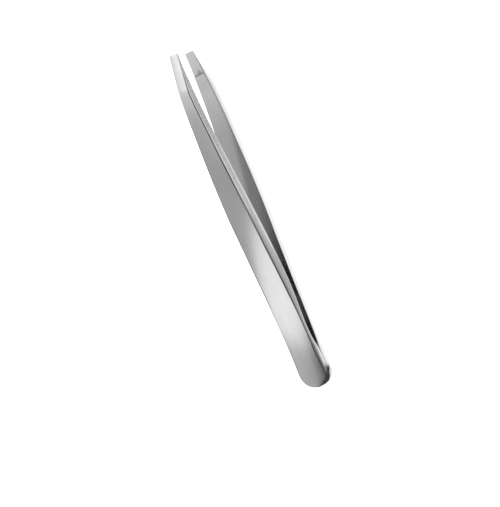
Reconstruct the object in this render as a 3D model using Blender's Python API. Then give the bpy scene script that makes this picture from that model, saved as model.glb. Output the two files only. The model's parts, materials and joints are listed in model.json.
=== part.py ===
"""Slant-tip tweezers: two mirrored arms of spring steel, spot-welded together at the heel.

In the tweezers' own frame X runs from the heel (0) to the tip, Y is the width and Z is the
height above the plane between the arms. Each arm bends at a thinned neck close to the heel,
so it is made as a heel and a springing arm that meet there with a small gap. An empty holds
everything and lays the tweezers on a surface, on the lower arm's outer face.
"""

import math

import bmesh
import bpy
import numpy as np
from mathutils import Matrix, Vector

MM = 0.001

# Driving dimensions, in millimetres. A profile is a smooth curve through (x, value) points.
LENGTH = 95.0
ROUND_END = 4.2                 # length of the rounded rear end
LOWER_SETBACK = 0.8             # the lower strip ends this much short of the upper one
HALF_WIDTH = [(4.2, 4.90), (12, 4.98), (20, 4.90), (28, 4.86), (34, 4.79), (42, 4.66), (50, 4.48),
              (62, 3.82), (74, 2.97), (84, 2.26), (95, 1.45)]
SIDE_LEAN = [(4.2, 0.12), (14, 0.40), (95, 0.42)]   # the sides lean in by this much per unit of height

SEAM = 0.10                     # gap between the two heels, bridged by the spot welds
INNER_FACE = [(0, SEAM / 2), (10, SEAM / 2), (15, 0.09), (20, 0.20), (27, 0.48), (32, 0.80), (40, 1.25),
              (50, 2.03), (62, 2.85), (72, 3.30), (80, 3.52), (84, 3.49), (88.8, 3.25)]
FLEX_HOLLOW = [(10, SEAM / 2), (12, 0.15), (14.3, 0.58), (16.6, 0.83), (20, 0.94), (24, 0.90),
               (28, 0.80), (32, 0.80)]
OUTER_FACE = [(0, 1.50), (12, 1.50), (17, 1.66), (22, 1.86), (27, 2.15), (34, 2.70), (42, 3.36),
              (52, 4.14), (62, 4.73), (72, 5.06), (80, 5.14), (85.3, 5.07)]

TIP_OPENING = 5.76              # between the two tips, inside, at rest
TIP_THICKNESS = 0.28
FACET_START = 85.3              # the outer faces are ground down to the tip from here
JAW_START = 88.8                # the ground jaw faces start here, behind a shallow step
JAW_STEP = 0.25                 # length of the step's ramp
JAW_SLOPE = 0.075               # the jaw faces close in towards the tip
TIP_SLANT = math.tan(math.radians(5))
INNER_SKEW = [(74, 0.0), (85.3, TIP_SLANT), (95, TIP_SLANT)]
OUTER_SKEW = [(74, 0.0), (85.3, 0.30), (95, TIP_SLANT)]

INNER_EDGE_RADIUS = 0.16
OUTER_EDGE_RADIUS = [(4.2, 0.60), (14, 0.38), (95, 0.32)]
INNER_EDGE_STEPS = 2
OUTER_EDGE_STEPS = 4

NECK_X = 18.0                   # where the arm bends
NECK_GAP = 0.10                 # running gap between heel and springing arm
ARM_SPACING = 1.6               # distance between cross sections
HEEL_SPACING = 1.0
ROUND_END_SECTIONS = 10

WELD_X = {"weld_spot_rear": 4.6, "weld_spot_front": 8.6}
WELD_RADIUS = 1.3
WELD_HEIGHT = 0.90
WELD_GAP = 0.05                 # around a weld nugget in its two pockets
WELD_SIDES = 32

STEEL = {"base_color": (0.62, 0.62, 0.63, 1.0), "metallic": 1.0, "roughness": 0.28}
WELD_STEEL = {"base_color": (0.36, 0.36, 0.38, 1.0), "metallic": 1.0, "roughness": 0.55}


def clear_scene():
    for item in list(bpy.data.objects):
        bpy.data.objects.remove(item, do_unlink=True)


def new_collection(name):
    collection = bpy.data.collections.new(name)
    bpy.context.scene.collection.children.link(collection)
    return collection


def smooth_profile(points):
    """Return a monotone cubic curve through the points, level beyond the first and the last."""
    x, y = np.array(points, dtype=float).T
    run = np.diff(x)
    slope = np.diff(y) / run
    tangent = np.concatenate(([slope[0]], np.zeros(len(x) - 2), [slope[-1]]))
    for k in range(1, len(x) - 1):
        if slope[k - 1] * slope[k] > 0:
            near = 2 * run[k] + run[k - 1]
            far = run[k] + 2 * run[k - 1]
            tangent[k] = (near + far) / (near / slope[k - 1] + far / slope[k])

    def value(at):
        at = min(max(at, x[0]), x[-1])
        k = min(int(np.searchsorted(x, at, side="right")) - 1, len(run) - 1)
        t = (at - x[k]) / run[k]
        start = (1 + 2 * t) * (1 - t) ** 2 * y[k] + t * (1 - t) ** 2 * run[k] * tangent[k]
        end = t * t * (3 - 2 * t) * y[k + 1] + t * t * (t - 1) * run[k] * tangent[k + 1]
        return start + end

    return value


half_width = smooth_profile(HALF_WIDTH)
side_lean = smooth_profile(SIDE_LEAN)
blank_inner = smooth_profile(INNER_FACE)
flex_hollow = smooth_profile(FLEX_HOLLOW)
blank_outer = smooth_profile(OUTER_FACE)
inner_skew = smooth_profile(INNER_SKEW)
outer_skew = smooth_profile(OUTER_SKEW)
outer_edge_radius = smooth_profile(OUTER_EDGE_RADIUS)


def jaw_height(x):
    return TIP_OPENING / 2 + JAW_SLOPE * (LENGTH - x)


def inner_height(x):
    """Height of the finished inner face: stamped, with the flex hollow and the jaw ground in."""
    if x <= JAW_START:
        return max(blank_inner(x), flex_hollow(x)) if x < FLEX_HOLLOW[-1][0] else blank_inner(x)
    ramp = min((x - JAW_START) / JAW_STEP, 1.0)
    return (1 - ramp) * blank_inner(JAW_START) + ramp * jaw_height(x)


def outer_height(x):
    """Height of the finished outer face, with the tip facet ground in."""
    if x <= FACET_START:
        return blank_outer(x)
    tip_top = TIP_OPENING / 2 + TIP_THICKNESS
    along = (x - FACET_START) / (LENGTH - FACET_START)
    return (1 - along) * blank_outer(FACET_START) + along * tip_top


def rounded_corner(corner, before, after, radius, steps):
    """Return the points of an arc that rounds the corner between two neighbouring points."""
    to_before = (before - corner).normalized()
    to_after = (after - corner).normalized()
    half_angle = to_before.angle(to_after) / 2
    centre = corner + (to_before + to_after).normalized() * (radius / math.sin(half_angle))
    reach = radius / math.tan(half_angle)
    first = corner + to_before * reach - centre
    last = corner + to_after * reach - centre
    turn = first.angle_signed(last)
    return [centre + Matrix.Rotation(-turn * k / steps, 2) @ first for k in range(steps + 1)]


def side_profile(x):
    """Return one side of the section at x as (half width, height) points, inner face first."""
    bottom = inner_height(x)
    top = outer_height(x)
    lean = side_lean(x)
    widest = half_width(x)
    base = min(blank_inner(x), bottom)
    inner_corner = Vector((widest - lean * (bottom - base), bottom))
    outer_corner = Vector((widest - lean * (top - base), top))
    inner_radius = min(INNER_EDGE_RADIUS, 0.25 * (top - bottom))
    outer_radius = min(outer_edge_radius(x), 0.40 * (top - bottom))
    inner_arc = rounded_corner(inner_corner, Vector((0, bottom)), outer_corner,
                               inner_radius, INNER_EDGE_STEPS)
    outer_arc = rounded_corner(outer_corner, inner_corner, Vector((0, top)),
                               outer_radius, OUTER_EDGE_STEPS)
    return inner_arc + outer_arc


def straight_ring(x):
    """Return the closed section at x, skewed where the tip is cut at a slant."""
    bottom = inner_height(x)
    height = outer_height(x) - bottom
    side = side_profile(x)
    ring = []
    for sign, profile in ((1, side), (-1, side[::-1])):
        for across, up in profile:
            share = (up - bottom) / height
            skew = (1 - share) * inner_skew(x) + share * outer_skew(x)
            ring.append(Vector((x + skew * sign * across, sign * across, up)))
    return ring


def round_end_ring(turn, setback):
    """Return a section of the rounded rear end, which turns from the side (0) to the rear."""
    start = ROUND_END + setback
    side = side_profile(start)
    widest = half_width(start)
    edge = Vector((start - ROUND_END * math.sin(turn), widest * math.cos(turn)))
    outward = Vector((-math.sin(turn) / ROUND_END, math.cos(turn) / widest)).normalized()
    ring = []
    for sign, profile in ((1, side), (-1, side[::-1])):
        for across, up in profile:
            point = edge - outward * (widest - across)
            ring.append(Vector((point.x, sign * point.y, up)))
    return ring


def evenly(start, end, spacing):
    count = max(1, math.ceil(abs(end - start) / spacing))
    return [start + (end - start) * k / count for k in range(count + 1)]


def arm_rings():
    """Sections of the springing arm, from the neck to the tip."""
    breaks = [NECK_X + NECK_GAP / 2, FLEX_HOLLOW[-1][0], FACET_START, JAW_START,
              JAW_START + JAW_STEP, LENGTH]
    places = [breaks[0]]
    for start, end in zip(breaks, breaks[1:]):
        places += evenly(start, end, ARM_SPACING)[1:]
    return [straight_ring(x) for x in places]


def heel_rings(setback):
    """Sections of the heel, from the neck to the rounded rear end."""
    places = evenly(NECK_X - NECK_GAP / 2, ROUND_END + setback, HEEL_SPACING)
    turns = [math.pi / 2 * k / ROUND_END_SECTIONS for k in range(1, ROUND_END_SECTIONS + 1)]
    return [straight_ring(x) for x in places] + [round_end_ring(turn, setback) for turn in turns]


def steel_material(name, look):
    material = bpy.data.materials.new(name)
    material.use_nodes = True
    shader = material.node_tree.nodes["Principled BSDF"]
    shader.inputs["Base Color"].default_value = look["base_color"]
    shader.inputs["Metallic"].default_value = look["metallic"]
    shader.inputs["Roughness"].default_value = look["roughness"]
    return material


def loft(name, rings, origin, flip):
    """Make one closed body through the rings. Flip mirrors it below the middle plane."""
    mirror = -1 if flip else 1
    body = bmesh.new()
    rows = []
    for ring in rings:
        places = [Vector((p.x, p.y, mirror * p.z)) - origin for p in ring]
        rows.append([body.verts.new(place * MM) for place in places])
    count = len(rows[0])
    for near, far in zip(rows, rows[1:]):
        for k in range(count):
            after = (k + 1) % count
            body.faces.new((near[k], near[after], far[after], far[k]))
    body.faces.new(rows[0])
    if len({tuple(round(c, 6) for c in p) for p in rings[-1]}) == count:
        body.faces.new(rows[-1])
    bmesh.ops.remove_doubles(body, verts=body.verts, dist=1e-6)
    bmesh.ops.recalc_face_normals(body, faces=body.faces)
    mesh = bpy.data.meshes.new(name)
    body.to_mesh(mesh)
    body.free()
    mesh.shade_smooth()
    mesh.set_sharp_from_angle(angle=math.radians(40))
    return bpy.data.objects.new(name, mesh)


def cylinder(name, radius, height):
    body = bmesh.new()
    bmesh.ops.create_cone(body, cap_ends=True, segments=WELD_SIDES, radius1=radius * MM,
                          radius2=radius * MM, depth=height * MM)
    mesh = bpy.data.meshes.new(name)
    body.to_mesh(mesh)
    body.free()
    mesh.shade_smooth()
    mesh.set_sharp_from_angle(angle=math.radians(40))
    return bpy.data.objects.new(name, mesh)


def add_part(item, parent, collection, look):
    item.data.materials.append(steel_material(item.name + "_steel", look))
    item.parent = parent
    collection.objects.link(item)


def rest_tilt():
    """Angle at which the lower arm lies on a surface with its heel and its belly."""
    heel = Vector((LOWER_SETBACK + outer_edge_radius(0), outer_height(0)))
    slopes = [(outer_height(x) - heel.y) / (x - heel.x) for x in np.arange(30, LENGTH, 0.25)]
    return math.atan(max(slopes))


def hinge_empty(name, flip, parent, collection):
    """Mark an arm's bending axis, along Y through the middle of the neck."""
    height = (inner_height(NECK_X) + outer_height(NECK_X)) / 2
    empty = bpy.data.objects.new(name, None)
    empty.empty_display_size = 3 * MM
    empty.location = Vector((NECK_X, 0, -height if flip else height)) * MM
    empty.parent = parent
    collection.objects.link(empty)
    return empty


def cut_weld_pockets(heel, parent, cutters):
    for name, x in WELD_X.items():
        cutter = cylinder(heel.name + "_pocket_for_" + name, WELD_RADIUS + WELD_GAP,
                          WELD_HEIGHT + 2 * WELD_GAP)
        cutter.location = Vector((x, 0, 0)) * MM
        cutter.parent = parent
        cutter.hide_render = True
        cutter.display_type = "WIRE"
        cutters.objects.link(cutter)
        cut = heel.modifiers.new("pocket_for_" + name, "BOOLEAN")
        cut.operation = "DIFFERENCE"
        cut.solver = "EXACT"
        cut.object = cutter


def make_side(side, flip, frame, parts, cutters):
    """Make one arm of the pair: its heel, fixed in the frame, and its springing arm."""
    setback = LOWER_SETBACK if flip else 0.0
    heel = loft(side + "_heel", heel_rings(setback), Vector((0, 0, 0)), flip)
    add_part(heel, frame, parts, STEEL)
    cut_weld_pockets(heel, frame, cutters)
    hinge = hinge_empty(side + "_flex_axis", flip, frame, parts)
    arm = loft(side + "_arm", arm_rings(), hinge.location / MM, flip)
    add_part(arm, hinge, parts, STEEL)


def make_welds(frame, parts):
    for name, x in WELD_X.items():
        nugget = cylinder(name, WELD_RADIUS, WELD_HEIGHT)
        nugget.location = Vector((x, 0, 0)) * MM
        add_part(nugget, frame, parts, WELD_STEEL)


def lay_on_surface(frame, parts):
    """Turn the frame onto the lower arm, and put the origin under the middle of the whole."""
    frame.rotation_euler = (0, -rest_tilt(), 0)
    bpy.context.view_layer.update()
    meshes = [item for item in parts.objects if item.type == "MESH"]
    corners = np.array([item.matrix_world @ vertex.co for item in meshes for vertex in item.data.vertices])
    low = corners.min(axis=0)
    high = corners.max(axis=0)
    frame.location = (-(low[0] + high[0]) / 2, -(low[1] + high[1]) / 2, -low[2])
    bpy.context.view_layer.update()


def main():
    clear_scene()
    parts = new_collection("slant_tweezers")
    cutters = new_collection("cutters")
    frame = bpy.data.objects.new("tweezers_frame", None)
    frame.empty_display_size = 10 * MM
    parts.objects.link(frame)
    make_side("upper", False, frame, parts, cutters)
    make_side("lower", True, frame, parts, cutters)
    make_welds(frame, parts)
    lay_on_surface(frame, parts)


main()
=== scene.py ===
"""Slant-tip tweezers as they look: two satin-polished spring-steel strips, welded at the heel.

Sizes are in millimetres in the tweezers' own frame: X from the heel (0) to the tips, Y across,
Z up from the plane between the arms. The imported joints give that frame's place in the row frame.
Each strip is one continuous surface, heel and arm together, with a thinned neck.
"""

import json
import math

import bmesh
import bpy
import numpy as np
from mathutils import Matrix, Vector


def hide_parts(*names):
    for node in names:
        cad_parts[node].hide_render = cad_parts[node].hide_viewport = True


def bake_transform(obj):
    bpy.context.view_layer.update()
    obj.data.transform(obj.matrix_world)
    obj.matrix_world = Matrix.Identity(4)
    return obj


MM = 0.001

# The strips' driving dimensions. A profile is a smooth curve through its (x, value) points.
LENGTH = 95.0
ROUND_END = 4.2                 # length of the rounded rear end
ROUND_END_FULLNESS = 2.25       # 2 makes it an ellipse, more makes it squarer
ROUND_END_SKEW = 0.09           # its far side reaches further back than its near side
NEAR_CORNER_LEAN = 0.55         # the outer face is cut back this much at its near rear corner
REAR_TRIM = 0.10                # the upper strip's rear end starts this far ahead of X 0
LOWER_SETBACK = 1.3             # and the lower strip's this far
HALF_WIDTH = [(4.2, 4.90), (12, 4.98), (20, 4.90), (28, 4.86), (34, 4.79), (42, 4.66), (50, 4.48),
              (62, 3.82), (74, 2.97), (84, 2.26), (95, 1.45)]
SIDE_LEAN = [(4.2, 0.04), (10, 0.28), (14, 0.36), (95, 0.38)]
SIDE_BULGE = 0.035              # the sides are rounded by this share of their height
INNER_FACE = [(0, 0.03), (9, 0.03), (15, 0.08), (20, 0.20), (27, 0.48), (32, 0.80), (40, 1.25),
              (50, 2.03), (62, 2.85), (72, 3.30), (80, 3.52), (84, 3.49), (88.8, 3.25)]
FLEX_HOLLOW = [(9.0, 0.03), (11.6, 0.15), (14.0, 0.58), (16.6, 0.83), (20, 0.94), (24, 0.90),
               (28, 0.80), (32, 0.80)]
OUTER_FACE = [(0, 1.49), (5, 1.49), (10, 1.54), (14, 1.63), (17.2, 1.735), (22, 1.92), (27, 2.17),
              (34, 2.70), (42, 3.36), (52, 4.14), (62, 4.73), (72, 5.06), (80, 5.14), (85.3, 5.07)]
CROWN = [(4.2, 0.05), (14, 0.03), (95, 0.035)]  # slope of the outer face at its long edges
# How much narrower than HALF_WIDTH each side is, or wider where it is negative.
WIDTH_TRIM = [(4.2, 0.07), (15, 0.07), (26, -0.07), (36, -0.08), (46, 0.0), (84, 0.0), (95, 0.02)]
TIP_OPENING = 5.76
TIP_THICKNESS = 0.28
FACET_START = 85.3
JAW_START = 88.8
JAW_STEP = 0.25
JAW_SLOPE = 0.075
TIP_SLANT = math.tan(math.radians(5))
INNER_SKEW = [(74, 0.0), (85.3, TIP_SLANT), (95, TIP_SLANT)]
OUTER_SKEW = [(74, 0.0), (85.3, 0.30), (95, TIP_SLANT)]
INNER_EDGE_RADIUS = [(4.2, 0.06), (9, 0.08), (14, 0.13), (44, 0.13), (56, 0.19), (95, 0.19)]
OUTER_EDGE_RADIUS = [(4.2, 0.62), (12, 0.95), (28, 1.05), (42, 0.88), (56, 0.54), (95, 0.32)]
INNER_RADIUS_SHARE = 0.25       # a radius takes up at most this share of the strip's thickness
OUTER_RADIUS_SHARE = 0.75
NECK_X = 18.0
WELD_X = (4.6, 8.6)
WELD_POCKET_RADIUS = 1.35
WELD_POCKET_HEIGHT = 1.0

# How finely the visible surface is made.
STATION_SPACING = 0.45
CREASE_SPACING = 0.06
CREASE_REACH = 1.00             # stations are close together this far on each side of a crease
CREASE_SOFTNESS = 0.80          # the facet's rear edge is rounded this far on each side
ROUND_END_STATIONS = 40
INNER_ARC_STEPS = 6
OUTER_ARC_STEPS = 12
SIDE_PLACES = (0.04, 0.17, 0.34, 0.5, 0.66, 0.83, 0.96)
ACROSS_STEPS = 12
SUPPORT = 0.05                  # a face's border row lies this far inside its rounded edge
SUPPORT_SHARE = 0.2             # or at most this share of the face's width
MERGE_DISTANCE = 1e-4
SHARP_ANGLE = math.radians(35)
POCKET_SEGMENTS = 48

# Where each look begins and is complete. A sideways normal has a share of 1.
MASKS = ("side", "edge", "ground", "painted_step_shade")
SIDE_NORMAL = (0.85, 0.93)
EDGE_NORMAL = (0.15, 0.35)
GROUND_FADE = 0.3               # the ground look fades in over this length on each side
TIPWARD_SHADE_LENGTH = 1.5              # painted shade reaches this far ahead of the jaw's step
TIPWARD_SHADE_MIDDLE = -0.35
TIPWARD_SHADE_HALF_WIDTH = 1.2
TIPWARD_SHADE_STRENGTH = 0.6

# The camera, in the tweezers' own frame.
CAMERA_PLACE = (64.72, -96.56, 113.69)
CAMERA_TARGET = (41.62, 2.72, 2.43)
CAMERA_ROLL = math.radians(-22.93)
CAMERA_LENS = 41.107
SENSOR_WIDTH = 36.0
PICTURE_SHAPE = 507 / 500       # the sensor's width lies along the picture's longer side

# The studio. Brightness 1 is white paper in full light.
ROOM_LIGHT = 1.75
SOFTBOX_LIGHT = 0.5
SOFTBOX_SIZE = 1.5              # in metres
SOFTBOX_PLACE = (0, -0.15, 0.9)  # in metres, in the row frame
# The walls' brightness goes by how steeply a reflection looks up, from 0 (level) to 1.
WALL_BRIGHTNESS = [(0.0, 0.6), (0.1, 0.6), (0.25, 0.9), (0.5, 1.0), (0.68, 0.5), (0.8, 0.15),
                   (1.0, 0.1)]
FLOOR_HALF_SIZE = 2             # in metres
FLOOR_DROP = 0.02
FLOOR_PANEL_DROP = 0.01

# The reflector panels' brightness. A pair is where a change along an axis starts and ends.
DARK = 0.05
OVERHEAD_MIDDLE = [(30, 0.51), (65, 0.51), (78, 0.54), (88, 0.68), (94, 0.86)]  # along X
OVERHEAD_HEEL = [(33, 0.46), (37, 0.53), (42, 0.54), (47, 0.59), (52, 0.68)]    # along Y
HEEL_PATCH_X = (-13.5, -9)
HEEL_CORNER_X = (-28, -23)
HEEL_CORNER_Y = (33, 40)
HEEL_CORNER_DIP = 0.25
PLATEAU = 1.32                  # the bright patch that the neck mirrors
PLATEAU_DIP = 0.02
PLATEAU_DIP_X = (-4, 5)
PLATEAU_END = (24, 43)          # a point of its slanted front border
PLATEAU_SLANT = 1.15
PLATEAU_FADE = 6
FACET_PATCH_X = (95, 110)
FACET_POINT = (115, 33)         # where the tip facet's patch has exactly FACET_BRIGHTNESS
FACET_BRIGHTNESS = 1.46
FACET_SLOPE = 0.050
FACET_SLANT = 0.75
FACET_RANGE = (0.90, 1.50)      # its darkest and its brightest
FRONT_GLOW = 0.3                # extra light along the lit part's near border, towards the tips
FRONT_GLOW_START = (62, 72)
FRONT_GLOW_END = (96, 106)
FRONT_GLOW_Y = (27, 35)
ZENITH = 0.06                   # the dark strip right over the tweezers
ZENITH_Y = 18
ZENITH_HEEL_SHIFT = 9
ZENITH_HEEL_X = (-15, 10)
ZENITH_FADE = 12
ZENITH_TIP_GLOW = 1.3
ZENITH_TIP_X = (108, 122)
NEAR_STRIP = 0.50               # on the camera's side of the dark strip
NEAR_STRIP_Y = (-24, -16)
NEAR_STRIP_HEEL_X = (-13, -10)
NEAR_STRIP_DIP = 0.40
NEAR_STRIP_DIP_X = (50, 62)
FAR_STRIP = 0.25
FAR_STRIP_Y = (56, 72)
FRONT_GREY = 0.62               # the front panel, low down and behind the middle
FRONT_TIP_GREY = 0.52
FRONT_BAND = 0.48               # extra light of its band, higher up
FRONT_BAND_X = (40, 56)
FRONT_BAND_Z = (3, 10)
FRONT_TIP_X = (70, 80)
FRONT_TIP_SHARE = 0.8           # of the band's extra light, gone ahead of FRONT_TIP_X
FRONT_LAMP = 1.25
FRONT_LAMP_X = (54, 66)
FRONT_LAMP_Z = (10, 17)
FRONT_TOP = 0.15
FRONT_TOP_Z = (30, 45)
FRONT_REAR_X = (-17, -14)
FLOOR_FAR_SIDE = [(33, 1.2), (38, 1.0), (44, 0.50), (50, 0.46)]                 # along X
FLOOR_FAR_Y = (0, 5)
FLOOR_WIDEN_X = (34, 46)        # the bright ground before the tweezers widens here
FLOOR_GREY_FROM = 8.5           # that ground turns grey from this far before the mid-line
FLOOR_GREY_SHIFT = 8.5
FLOOR_GREY_FADE = 4
FLOOR_FADE_SHIFT = 12
FLOOR_GREY = 0.60
FLOOR_GLARE = 0.75
FLOOR_TIP_X = (70, 80)
FLOOR_TIP_SHARE = 0.9           # of the glare, gone ahead of FLOOR_TIP_X
FLOOR_BESIDE = 1.18             # right beside the lower strip
FLOOR_BESIDE_REACH = 1.0
FLOOR_BESIDE_FADE = 1.5
FLOOR_BESIDE_DIP = 0.2
FLOOR_BESIDE_DIP_X = (80, 88)
BEHIND_HEEL = 0.5
BEHIND_HEEL_Y = (0, 4)
HEEL_SHADE_X = 5.3              # behind this line, the rear end mirrors a dark floor
HEEL_SHADE_Y = 7.8              # further than this before the mid-line, the line slants rearward
HEEL_SHADE_SLANT = 0.35
HEEL_SHADE_FADE = 0.6
REAR_CARD = 0.04
REAR_CARD_GLOW = 0.5
REAR_CARD_Y = (34, 44)
BACK_CARD = 0.25


def smooth_profile(points):
    """Return a monotone cubic curve through the points, level beyond the first and the last."""
    x, y = np.array(points, dtype=float).T
    run = np.diff(x)
    slope = np.diff(y) / run
    tangent = np.concatenate(([slope[0]], np.zeros(len(x) - 2), [slope[-1]]))
    for k in range(1, len(x) - 1):
        if slope[k - 1] * slope[k] > 0:
            near = 2 * run[k] + run[k - 1]
            far = run[k] + 2 * run[k - 1]
            tangent[k] = (near + far) / (near / slope[k - 1] + far / slope[k])

    def value(at):
        at = min(max(at, x[0]), x[-1])
        k = min(int(np.searchsorted(x, at, side="right")) - 1, len(run) - 1)
        t = (at - x[k]) / run[k]
        start = (1 + 2 * t) * (1 - t) ** 2 * y[k] + t * (1 - t) ** 2 * run[k] * tangent[k]
        end = t * t * (3 - 2 * t) * y[k + 1] + t * t * (t - 1) * run[k] * tangent[k + 1]
        return start + end

    return value


half_width = smooth_profile(HALF_WIDTH)
width_trim = smooth_profile(WIDTH_TRIM)
side_lean = smooth_profile(SIDE_LEAN)
blank_inner = smooth_profile(INNER_FACE)
flex_hollow = smooth_profile(FLEX_HOLLOW)
blank_outer = smooth_profile(OUTER_FACE)
crown = smooth_profile(CROWN)
inner_skew = smooth_profile(INNER_SKEW)
outer_skew = smooth_profile(OUTER_SKEW)
inner_edge_radius = smooth_profile(INNER_EDGE_RADIUS)
outer_edge_radius = smooth_profile(OUTER_EDGE_RADIUS)
overhead_middle = smooth_profile(OVERHEAD_MIDDLE)
overhead_heel = smooth_profile(OVERHEAD_HEEL)
floor_far_side = smooth_profile(FLOOR_FAR_SIDE)


def blend_step(value, low, high):
    """Return 0 below low, 1 above high, and a smooth change between them."""
    share = min(max((value - low) / (high - low), 0.0), 1.0)
    return share * share * (3 - 2 * share)


def mix(a, b, share):
    return a + (b - a) * share


def soft_min(a, b, softness):
    """Return the smaller value, rounded where the two are about equal."""
    share = max(softness - abs(a - b), 0.0) / softness
    return min(a, b) - share * share * softness / 4


def stamped_inner(x):
    if x < FLEX_HOLLOW[-1][0]:
        return max(blank_inner(x), flex_hollow(x))
    return blank_inner(x)


def inner_height(x):
    """Height of the inner face, with the flex hollow and the jaw ground into it."""
    if x <= JAW_START:
        return stamped_inner(x)
    jaw = TIP_OPENING / 2 + JAW_SLOPE * (LENGTH - x)
    return mix(stamped_inner(JAW_START), jaw, blend_step(x, JAW_START, JAW_START + JAW_STEP))


def outer_height(x):
    """Height of the outer face at its middle, with the tip facet ground into it."""
    tip_top = TIP_OPENING / 2 + TIP_THICKNESS
    rise = (blank_outer(FACET_START) - tip_top) / (LENGTH - FACET_START)
    return soft_min(blank_outer(x), tip_top + rise * (LENGTH - x), CREASE_SOFTNESS * rise)


def rounded_corner(corner, before, after, radius, steps):
    """Return the points of an arc that rounds the corner between two neighbouring points."""
    to_before = (before - corner).normalized()
    to_after = (after - corner).normalized()
    half_angle = to_before.angle(to_after) / 2
    centre = corner + (to_before + to_after).normalized() * (radius / math.sin(half_angle))
    reach = radius / math.tan(half_angle)
    first = corner + to_before * reach - centre
    last = corner + to_after * reach - centre
    turn = first.angle_signed(last)
    return [centre + Matrix.Rotation(-turn * k / steps, 2) @ first for k in range(steps + 1)]


def between(start, end, steps):
    """Return points between two points, with one close to each of them."""
    edge = min(SUPPORT / max((end - start).length, 1e-9), SUPPORT_SHARE)
    shares = [edge] + [k / steps for k in range(1, steps)] + [1 - edge]
    return [start.lerp(end, share) for share in shares]


def side_profile(x):
    """Return one side of the section at x as (half width, height) points, inner face first."""
    bottom = inner_height(x)
    lean = side_lean(x)
    widest = half_width(x) - width_trim(x)
    base = min(blank_inner(x), bottom)
    top = outer_height(x) - crown(x) * widest / 2
    inner_corner = Vector((widest - lean * (bottom - base), bottom))
    outer_corner = Vector((widest - lean * (top - base), top))
    ridge = Vector((0, top + crown(x) * outer_corner.x))
    bulge = Vector((top - bottom, inner_corner.x - outer_corner.x)) * 2 * SIDE_BULGE
    swell = (inner_corner + outer_corner) / 2 + bulge
    inner_radius = min(inner_edge_radius(x), INNER_RADIUS_SHARE * (top - bottom))
    outer_radius = min(outer_edge_radius(x), OUTER_RADIUS_SHARE * (top - bottom))
    inner_arc = rounded_corner(inner_corner, Vector((0, bottom)), swell,
                               inner_radius, INNER_ARC_STEPS)
    outer_arc = rounded_corner(outer_corner, swell, ridge, outer_radius, OUTER_ARC_STEPS)
    side = [inner_arc[-1].lerp(swell, t).lerp(swell.lerp(outer_arc[0], t), t)
            for t in SIDE_PLACES]
    return inner_arc + side + outer_arc


def close_ring(right, left, rise):
    """Join the rims of the two sides across the crowned outer and the flat inner face."""
    outer = between(right[-1], left[-1], ACROSS_STEPS)
    middle = (right[-1] + left[-1]) / 2
    half = (left[-1] - right[-1]).length / 2
    for point in outer:
        share = (point - middle).length / half
        point.z += rise * (1 - share * share)
    inner = between(left[0], right[0], ACROSS_STEPS)
    return right + outer + left[::-1] + inner


def straight_ring(x):
    bottom = inner_height(x)
    height = outer_height(x) - bottom
    rims = []
    for sign in (1, -1):
        rim = []
        for across, up in side_profile(x):
            skew = mix(inner_skew(x), outer_skew(x), (up - bottom) / height)
            rim.append(Vector((x + skew * sign * across, sign * across, up)))
        rims.append(rim)
    return close_ring(*rims, crown(x) * rims[0][-1].y / 2)


def round_end_ring(turn, setback):
    """Return a section of the rounded rear end, which turns from the side (0) to the rear."""
    start = ROUND_END + setback
    profile = side_profile(start)
    bottom = profile[0].y
    height = profile[-1].y - bottom
    reach = max(point.x for point in profile)
    back = math.sin(turn) ** (2 / ROUND_END_FULLNESS)
    across_share = max(math.cos(turn), 0.0) ** (2 / ROUND_END_FULLNESS)
    edge = Vector((start - ROUND_END * back, reach * across_share))
    outward = Vector((-back ** (ROUND_END_FULLNESS - 1) / ROUND_END,
                      across_share ** (ROUND_END_FULLNESS - 1) / reach)).normalized()
    rims = []
    for sign, corner_lean in ((1, 0.0), (-1, NEAR_CORNER_LEAN * math.sin(2 * turn))):
        rim = []
        for across, up in profile:
            inset = reach - across + corner_lean * (up - bottom) / height
            point = edge - outward * inset
            skew = ROUND_END_SKEW * sign * point.y * back
            rim.append(Vector((point.x - skew, sign * point.y, up)))
        rims.append(rim)
    return close_ring(*rims, crown(start) * rims[0][-1].y / 2)


def evenly(start, end, spacing):
    count = max(1, math.ceil(abs(end - start) / spacing))
    return [start + (end - start) * k / count for k in range(count + 1)]


def station_places(end):
    """Places of the straight sections, close together at the ground creases."""
    creases = [(FACET_START - CREASE_REACH, FACET_START + CREASE_REACH),
               (JAW_START - CREASE_REACH, JAW_START + JAW_STEP + CREASE_REACH)]
    places = [LENGTH]
    for low, high in reversed(creases):
        places += evenly(places[-1], high, STATION_SPACING)[1:]
        places += evenly(high, low, CREASE_SPACING)[1:]
    return places + evenly(places[-1], end, STATION_SPACING)[1:]


def strip_rings(setback):
    turns = [math.pi / 2 * k / ROUND_END_STATIONS for k in range(1, ROUND_END_STATIONS + 1)]
    straight = [straight_ring(x) for x in station_places(ROUND_END + setback)]
    return straight + [round_end_ring(turn, setback) for turn in turns]


def own_frame(joints):
    """Return the matrix from the tweezers' own frame, in metres, to the row frame."""
    hinge = {joint["name"]: Vector(joint["pos_m"]) for joint in joints}
    up = (hinge["upper_flex"] - hinge["lower_flex"]).normalized()
    side = Vector((0, 1, 0))
    along = side.cross(up)
    neck = (hinge["upper_flex"] + hinge["lower_flex"]) / 2
    turn = Matrix((along, side, up)).transposed()
    return Matrix.Translation(neck - along * NECK_X * MM) @ turn.to_4x4()


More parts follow.
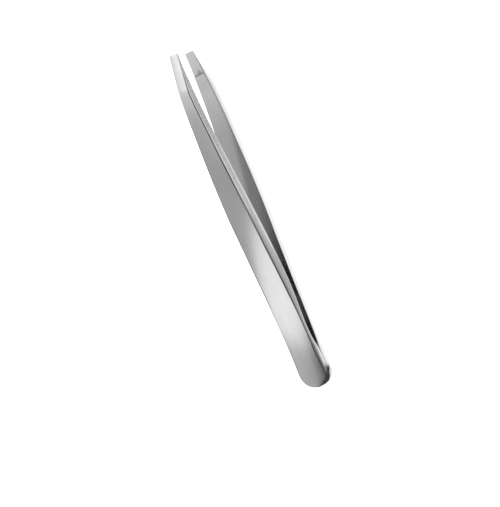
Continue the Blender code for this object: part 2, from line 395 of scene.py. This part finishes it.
def surface_masks(place, normal):
    """Return how much a point belongs to a side, a rounded edge, a ground face and painted shade.

    The painted step shade darkens the corner of the jaw's step and a wedge ahead of it.
    """
    x, y, z = place.x, place.y, abs(place.z)
    sideways = math.hypot(normal.y, min(normal.x, 0.0))
    side = blend_step(sideways, *SIDE_NORMAL)
    edge = blend_step(sideways, *EDGE_NORMAL) * (1 - side)
    outer = z > (inner_height(x) + outer_height(x)) / 2
    start = FACET_START if outer else JAW_START
    ground = blend_step(x, start - GROUND_FADE, start + GROUND_FADE) * (1 - side)
    # Painted shade: a dark band along the corner of the jaw's step and a dark wedge ahead of it.
    ahead = x - inner_skew(x) * y - JAW_START
    step = blend_step(ahead, -0.15, 0.05) * (1 - blend_step(ahead, JAW_STEP, JAW_STEP + 0.2))
    wedge = TIPWARD_SHADE_LENGTH * (1 - abs(y - TIPWARD_SHADE_MIDDLE) / TIPWARD_SHADE_HALF_WIDTH)
    tipward_shade = blend_step(ahead, 0.0, 0.2) * (1 - blend_step(ahead, wedge - 0.3, wedge + 0.3))
    painted_step_shade = 0.0 if outer else max(step, TIPWARD_SHADE_STRENGTH * tipward_shade) * (1 - side)
    return side, edge, ground, painted_step_shade


def pocket_cutter(x):
    body = bmesh.new()
    bmesh.ops.create_cone(body, cap_ends=True, segments=POCKET_SEGMENTS, radius1=WELD_POCKET_RADIUS,
                          radius2=WELD_POCKET_RADIUS, depth=WELD_POCKET_HEIGHT)
    bmesh.ops.translate(body, verts=body.verts, vec=(x, 0, 0))
    mesh = bpy.data.meshes.new("pocket")
    body.to_mesh(mesh)
    body.free()
    cutter = bpy.data.objects.new("pocket", mesh)
    bpy.context.scene.collection.objects.link(cutter)
    return cutter


def cut_weld_pockets(strip):
    """Sink the pockets of the weld spots into the strip's inner face."""
    for x in WELD_X:
        cutter = pocket_cutter(x)
        cut = strip.modifiers.new("pocket", "BOOLEAN")
        cut.operation = "DIFFERENCE"
        cut.solver = "MANIFOLD"
        cut.object = cutter
        graph = bpy.context.evaluated_depsgraph_get()
        finished = bpy.data.meshes.new_from_object(strip.evaluated_get(graph), depsgraph=graph)
        strip.modifiers.clear()
        strip.data = finished
        bpy.data.objects.remove(cutter)


def make_strip(name, mirror, setback, material):
    """Make one whole strip, in its own frame and in millimetres."""
    body = bmesh.new()
    rows = [[body.verts.new((p.x, p.y, mirror * p.z)) for p in ring]
            for ring in strip_rings(setback)]
    count = len(rows[0])
    for near, far in zip(rows, rows[1:]):
        for k in range(count):
            after = (k + 1) % count
            body.faces.new((near[k], near[after], far[after], far[k]))
    body.faces.new(rows[0])
    bmesh.ops.remove_doubles(body, verts=body.verts, dist=MERGE_DISTANCE)
    bmesh.ops.recalc_face_normals(body, faces=body.faces)
    mesh = bpy.data.meshes.new(name)
    body.to_mesh(mesh)
    body.free()
    strip = bpy.data.objects.new(name, mesh)
    bpy.context.scene.collection.objects.link(strip)
    cut_weld_pockets(strip)
    mesh = strip.data
    mesh.name = name
    masks = [surface_masks(vertex.co, vertex.normal) for vertex in mesh.vertices]
    for mask, values in zip(MASKS, zip(*masks)):
        mesh.attributes.new(mask, "FLOAT", "POINT").data.foreach_set("value", values)
    place = mesh.attributes.new("place", "FLOAT_VECTOR", "POINT").data
    place.foreach_set("vector", [c for vertex in mesh.vertices for c in vertex.co])
    mesh.shade_smooth()
    mesh.set_sharp_from_angle(angle=SHARP_ANGLE)
    mesh.materials.clear()
    mesh.materials.append(material)
    return strip


class Look:
    """A material under construction, with the few node patterns that the steels share."""

    def __init__(self, name):
        self.material = bpy.data.materials.new(name)
        self.material.use_nodes = True
        self.tree = self.material.node_tree
        self.shader = self.tree.nodes["Principled BSDF"]

    def node(self, kind, inputs=(), **settings):
        node = self.tree.nodes.new(kind)
        for key, value in settings.items():
            setattr(node, key, value)
        for socket, value in inputs:
            self.feed(node.inputs[socket], value)
        return node

    def feed(self, socket, value):
        if isinstance(value, bpy.types.NodeSocket):
            self.tree.links.new(value, socket)
        else:
            socket.default_value = value

    def attribute(self, name):
        node = self.node("ShaderNodeAttribute", attribute_name=name)
        return node.outputs["Vector" if name == "place" else "Fac"]

    def noise(self, place, frequency, detail=2.0):
        """Noise with its own frequency, per millimetre, along each axis of the tweezers."""
        scaled = self.node("ShaderNodeVectorMath", [(0, place), (1, frequency)],
                           operation="MULTIPLY")
        noise = self.node("ShaderNodeTexNoise", [("Vector", scaled.outputs["Vector"]),
                                                 ("Scale", 1.0), ("Detail", detail)])
        return noise.outputs["Fac"]

    def spread(self, value, low, high):
        """Spread a noise's usual range over low to high."""
        node = self.node("ShaderNodeMapRange", [("Value", value), ("From Min", 0.3),
                                                ("From Max", 0.7), ("To Min", low),
                                                ("To Max", high)])
        return node.outputs["Result"]

    def math(self, operation, a, b):
        return self.node("ShaderNodeMath", [(0, a), (1, b)], operation=operation).outputs[0]

    def mix(self, share, a, b):
        node = self.node("ShaderNodeMix", data_type="FLOAT")
        for name, value in (("Factor", share), ("A", a), ("B", b)):
            self.feed(node.inputs[name], value)
        return node.outputs["Result"]

    def tint(self, colour, factor):
        node = self.node("ShaderNodeVectorMath", [(0, colour), ("Scale", factor)],
                         operation="SCALE")
        return node.outputs["Vector"]

    def bump(self, height, distance, normal=None):
        node = self.node("ShaderNodeBump", [("Height", height), ("Strength", 1.0),
                                            ("Distance", distance)])
        if normal:
            self.feed(node.inputs["Normal"], normal)
        return node.outputs["Normal"]


def satin_steel():
    """Satin-polished steel: grain along the strip, tumbled sides, ground tips, bright edges,
    painted shade at the jaw's step.
    """
    look = Look("satin_steel")
    look.shader.inputs["Metallic"].default_value = 1.0
    place = look.attribute("place")
    side, edge, ground, painted_step_shade = [look.attribute(name) for name in MASKS]
    fine_grain = look.noise(place, (0.08, 9.0, 9.0))
    streaks = look.noise(place, (0.03, 2.0, 2.0), 3.0)
    clouds = look.noise(place, (0.12, 0.16, 0.16))
    swells = look.noise(place, (0.10, 0.22, 0.22), 0.0)
    tumbling = look.noise(place, (3.4, 4.0, 4.0), 3.0)
    cross_lines = look.noise(place, (9.0, 0.35, 0.35))

    shade = look.math("MULTIPLY", look.spread(streaks, 0.975, 1.025),
                      look.spread(clouds, 0.975, 1.025))
    side_shade = look.mix(side, 1.0, look.spread(tumbling, 0.86, 1.08))
    # Painted shade: the colour is darkened in the jaw's step corner and in the wedge ahead of it.
    step_darkening = look.math("MULTIPLY", painted_step_shade, look.spread(tumbling, 0.25, 0.75))
    step_unshaded = look.math("SUBTRACT", 1.0, step_darkening)
    shade = look.math("MULTIPLY", look.math("MULTIPLY", shade, side_shade), step_unshaded)
    look.feed(look.shader.inputs["Base Color"], look.tint((0.62, 0.62, 0.62), shade))

    face_rough = look.math("ADD", look.spread(fine_grain, -0.03, 0.03),
                           look.spread(streaks, 0.17, 0.21))
    ground_rough = look.spread(cross_lines, 0.17, 0.25)
    rough = look.mix(ground, face_rough, ground_rough)
    rough = look.mix(side, rough, look.spread(tumbling, 0.22, 0.36))
    rough = look.mix(edge, rough, 0.17)
    rough = look.math("ADD", rough, look.math("MULTIPLY", painted_step_shade, 0.2))
    look.feed(look.shader.inputs["Roughness"], rough)

    normal = look.bump(swells, 2.5e-5)
    along = look.mix(ground, fine_grain, cross_lines)
    normal = look.bump(look.mix(side, along, 0.5), 1.5e-6, normal)
    normal = look.bump(look.mix(side, 0.5, tumbling), 5e-6, normal)
    look.feed(look.shader.inputs["Normal"], normal)
    return look.material


def weld_steel():
    """Dull, slightly mottled steel of the spot welds."""
    look = Look("weld_steel")
    look.shader.inputs["Metallic"].default_value = 1.0
    place = look.node("ShaderNodeTexCoord").outputs["Object"]
    mottle = look.noise(place, (2.5 / MM, 2.5 / MM, 2.5 / MM), 4.0)
    shade = look.spread(mottle, 0.8, 1.15)
    look.feed(look.shader.inputs["Base Color"], look.tint((0.36, 0.36, 0.37), shade))
    look.feed(look.shader.inputs["Roughness"], look.spread(mottle, 0.4, 0.6))
    look.feed(look.shader.inputs["Normal"], look.bump(mottle, 1e-5))
    return look.material


def make_camera():
    place = OWN @ (Vector(CAMERA_PLACE) * MM)
    target = OWN @ (Vector(CAMERA_TARGET) * MM)
    forward = (target - place).normalized()
    along = OWN.to_3x3() @ Vector((1, 0, 0))
    up = (along - along.dot(forward) * forward).normalized()
    up = Matrix.Rotation(CAMERA_ROLL, 3, -forward) @ up
    data = bpy.data.cameras.new("camera")
    data.sensor_width = SENSOR_WIDTH
    data.lens = CAMERA_LENS / PICTURE_SHAPE
    data.clip_start = 0.005
    data.clip_end = 20
    camera = bpy.data.objects.new("camera", data)
    turn = Matrix((forward.cross(up), up, -forward)).transposed()
    camera.matrix_world = Matrix.Translation(place) @ turn.to_4x4()
    bpy.context.scene.collection.objects.link(camera)
    bpy.context.scene.camera = camera


def make_floor():
    body = bmesh.new()
    bmesh.ops.create_grid(body, x_segments=1, y_segments=1, size=FLOOR_HALF_SIZE)
    mesh = bpy.data.meshes.new("floor")
    body.to_mesh(mesh)
    body.free()
    floor = bpy.data.objects.new("floor", mesh)
    floor.location.z = -FLOOR_DROP * MM
    bpy.context.scene.collection.objects.link(floor)
    look = Look("pale_floor")
    look.shader.inputs["Base Color"].default_value = (0.9, 0.9, 0.9, 1)
    look.shader.inputs["Roughness"].default_value = 0.9
    look.shader.inputs["Specular IOR Level"].default_value = 0.1
    mesh.materials.append(look.material)


def make_world():
    """Pale studio walls, which get darker overhead where the steel mirrors them."""
    world = bpy.data.worlds.new("studio")
    bpy.context.scene.world = world
    world.use_nodes = True
    tree = world.node_tree
    coordinates = tree.nodes.new("ShaderNodeTexCoord")
    direction = tree.nodes.new("ShaderNodeSeparateXYZ")
    tree.links.new(coordinates.outputs["Generated"], direction.inputs["Vector"])
    walls = tree.nodes.new("ShaderNodeFloatCurve")
    curve = walls.mapping.curves[0]
    for _ in WALL_BRIGHTNESS[2:]:
        curve.points.new(0.5, 0.5)
    for point, place in zip(curve.points, WALL_BRIGHTNESS):
        point.location = place
    walls.mapping.update()
    tree.links.new(direction.outputs["Z"], walls.inputs["Value"])
    path = tree.nodes.new("ShaderNodeLightPath")
    strength = tree.nodes.new("ShaderNodeMix")
    strength.data_type = "FLOAT"
    strength.inputs["A"].default_value = ROOM_LIGHT
    tree.links.new(path.outputs["Is Glossy Ray"], strength.inputs["Factor"])
    tree.links.new(walls.outputs["Value"], strength.inputs["B"])
    background = tree.nodes["Background"]
    background.inputs["Color"].default_value = (1, 1, 1, 1)
    tree.links.new(strength.outputs["Result"], background.inputs["Strength"])


def overhead_brightness(x, y, z):
    """Brightness of the panel over the tweezers, which lights the heel end and the tips."""
    from_point = y - FACET_SLANT * (x - FACET_POINT[0]) - FACET_POINT[1]
    facet = FACET_BRIGHTNESS - FACET_SLOPE * from_point
    facet = min(max(facet, FACET_RANGE[0]), FACET_RANGE[1])
    value = mix(overhead_middle(x), facet, blend_step(x, *FACET_PATCH_X))
    border = PLATEAU_END[0] - PLATEAU_SLANT * (y - PLATEAU_END[1])
    plateau = PLATEAU - PLATEAU_DIP * blend_step(x, *PLATEAU_DIP_X)
    value = mix(plateau, value, blend_step(x, border - PLATEAU_FADE, border + PLATEAU_FADE))
    heel_corner = (1 - blend_step(x, *HEEL_CORNER_X)) * (1 - blend_step(y, *HEEL_CORNER_Y))
    heel = overhead_heel(y) - HEEL_CORNER_DIP * heel_corner
    value = mix(heel, value, blend_step(x, *HEEL_PATCH_X))
    ahead = blend_step(x, *FRONT_GLOW_START) * (1 - blend_step(x, *FRONT_GLOW_END))
    value += FRONT_GLOW * ahead * (1 - blend_step(y, *FRONT_GLOW_Y))
    zenith_end = ZENITH_Y + ZENITH_HEEL_SHIFT * (1 - blend_step(x, *ZENITH_HEEL_X))
    zenith = ZENITH + ZENITH_TIP_GLOW * blend_step(x, *ZENITH_TIP_X)
    value = mix(zenith, value, blend_step(y, zenith_end, zenith_end + ZENITH_FADE))
    near = mix(DARK, NEAR_STRIP, blend_step(x, *NEAR_STRIP_HEEL_X))
    near -= NEAR_STRIP_DIP * blend_step(x, *NEAR_STRIP_DIP_X)
    value = mix(near, value, blend_step(y, *NEAR_STRIP_Y))
    return mix(value, FAR_STRIP, blend_step(y, *FAR_STRIP_Y))


def front_brightness(x, y, z):
    """Brightness of the panel before the tweezers: grey, with a bright band over its middle."""
    ahead = blend_step(x, *FRONT_TIP_X)
    band = FRONT_GREY + FRONT_BAND * blend_step(x, *FRONT_BAND_X) * (1 - FRONT_TIP_SHARE * ahead)
    low = mix(FRONT_GREY, FRONT_TIP_GREY, ahead)
    value = mix(low, band, blend_step(z, *FRONT_BAND_Z))
    lamp = FRONT_LAMP * blend_step(x, *FRONT_LAMP_X) * blend_step(z, *FRONT_LAMP_Z)
    value = mix(max(value, lamp), FRONT_TOP, blend_step(z, *FRONT_TOP_Z))
    return mix(DARK, value, blend_step(x, *FRONT_REAR_X))


def floor_brightness(x, y, z):
    """Brightness of the panel on the floor: bright along the tweezers' near side."""
    widen = blend_step(x, *FLOOR_WIDEN_X)
    grey_from = FLOOR_GREY_FROM + FLOOR_GREY_SHIFT * widen
    fade = FLOOR_GREY_FADE + FLOOR_FADE_SHIFT * widen
    glare = FLOOR_GLARE * (1 - FLOOR_TIP_SHARE * blend_step(x, *FLOOR_TIP_X))
    front = FLOOR_GREY + glare * (1 - blend_step(-y, grey_from, grey_from + fade))
    beside = half_width(x) + FLOOR_BESIDE_REACH
    near = FLOOR_BESIDE - FLOOR_BESIDE_DIP * blend_step(x, *FLOOR_BESIDE_DIP_X)
    near *= 1 - blend_step(-y, beside, beside + FLOOR_BESIDE_FADE)
    value = mix(max(front, near), floor_far_side(x), blend_step(y, *FLOOR_FAR_Y))
    behind_heel = mix(DARK, BEHIND_HEEL, blend_step(y, *BEHIND_HEEL_Y))
    shade = HEEL_SHADE_X - HEEL_SHADE_SLANT * max(-y - HEEL_SHADE_Y, 0)
    lit = blend_step(x, shade - HEEL_SHADE_FADE, shade + HEEL_SHADE_FADE)
    return mix(behind_heel, value, lit)


def rear_brightness(x, y, z):
    """Brightness of the card behind the heel: dark, and grey towards the far side."""
    return REAR_CARD + REAR_CARD_GLOW * blend_step(y, *REAR_CARD_Y)


def plain(brightness):
    return lambda x, y, z: brightness


def reflector(name, centre, across, along, cells, brightness):
    """Add a glowing panel that only the steel's reflections see.

    across and along are its half sides, as vectors in the tweezers' own frame. brightness gives
    the glow for the x, y and z of a point of the panel.
    """
    centre, across, along = Vector(centre), Vector(across), Vector(along)
    body = bmesh.new()
    bmesh.ops.create_grid(body, x_segments=cells[0], y_segments=cells[1], size=1)
    mesh = bpy.data.meshes.new(name)
    body.to_mesh(mesh)
    body.free()
    glow = mesh.attributes.new("glow", "FLOAT", "POINT")
    for k, vertex in enumerate(mesh.vertices):
        point = centre + across * vertex.co.x + along * vertex.co.y
        glow.data[k].value = brightness(*point)
        vertex.co = OWN @ (point * MM)
    look = Look(name)
    look.tree.nodes.remove(look.shader)
    emission = look.node("ShaderNodeEmission", [("Strength", look.attribute("glow"))])
    output = look.tree.nodes["Material Output"]
    look.feed(output.inputs["Surface"], emission.outputs["Emission"])
    look.material.cycles.emission_sampling = "NONE"
    mesh.materials.append(look.material)
    panel = bpy.data.objects.new(name, mesh)
    panel.visible_camera = False
    panel.visible_diffuse = False
    panel.visible_shadow = False
    panel.visible_transmission = False
    bpy.context.scene.collection.objects.link(panel)


def make_reflectors():
    reflector("overhead_panel", (50, 25, 50), (110, 0, 0), (0, 85, 0), (110, 85),
              overhead_brightness)
    reflector("front_panel", (50, -60, 22), (130, 0, 0), (0, 0, 28), (65, 28), front_brightness)
    reflector("back_card", (50, 110, 22), (130, 0, 0), (0, 0, 28), (1, 1), plain(BACK_CARD))
    reflector("rear_card", (-60, 25, 30), (0, 85, 0), (0, 0, 35), (85, 1), rear_brightness)
    below = OWN.inverted() @ Vector((0, 0, -FLOOR_PANEL_DROP * MM)) / MM
    along = OWN.inverted().to_3x3() @ Vector((100, 0, 0))
    reflector("floor_panel", below, along, (0, 59, 0), (200, 118), floor_brightness)


def make_softbox():
    """Add the soft key light of the floor. The steel sees the reflectors in its place."""
    data = bpy.data.lights.new("softbox", "AREA")
    data.size = SOFTBOX_SIZE
    data.energy = SOFTBOX_LIGHT * 4 * data.size * data.size
    softbox = bpy.data.objects.new("softbox", data)
    softbox.location = SOFTBOX_PLACE
    softbox.rotation_euler = softbox.location.to_track_quat("Z", "X").to_euler()
    softbox.visible_camera = False
    softbox.visible_glossy = False
    bpy.context.scene.collection.objects.link(softbox)


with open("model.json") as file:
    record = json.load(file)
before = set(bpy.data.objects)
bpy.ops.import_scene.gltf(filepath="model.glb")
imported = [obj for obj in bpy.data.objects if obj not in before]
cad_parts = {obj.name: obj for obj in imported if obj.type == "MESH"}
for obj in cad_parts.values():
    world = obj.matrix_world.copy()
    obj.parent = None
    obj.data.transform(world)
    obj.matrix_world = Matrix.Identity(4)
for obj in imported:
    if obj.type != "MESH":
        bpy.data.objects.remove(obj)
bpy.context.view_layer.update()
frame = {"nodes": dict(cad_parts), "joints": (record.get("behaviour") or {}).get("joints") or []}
OWN = own_frame(frame["joints"])
bpy.context.scene.view_settings.view_transform = "Standard"

satin = satin_steel()
weld = weld_steel()
for name, mirror, setback in (("upper", 1, REAR_TRIM), ("lower", -1, LOWER_SETBACK)):
    strip = make_strip(name + "_strip", mirror, setback, satin)
    strip.data.transform(OWN @ Matrix.Scale(MM, 4))
    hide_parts(name + "_arm", name + "_heel")
    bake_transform(strip)
for spot in ("weld_spot_rear", "weld_spot_front"):
    for slot in frame["nodes"][spot].material_slots:
        slot.material = weld

make_floor()
make_world()
make_reflectors()
make_softbox()
make_camera()
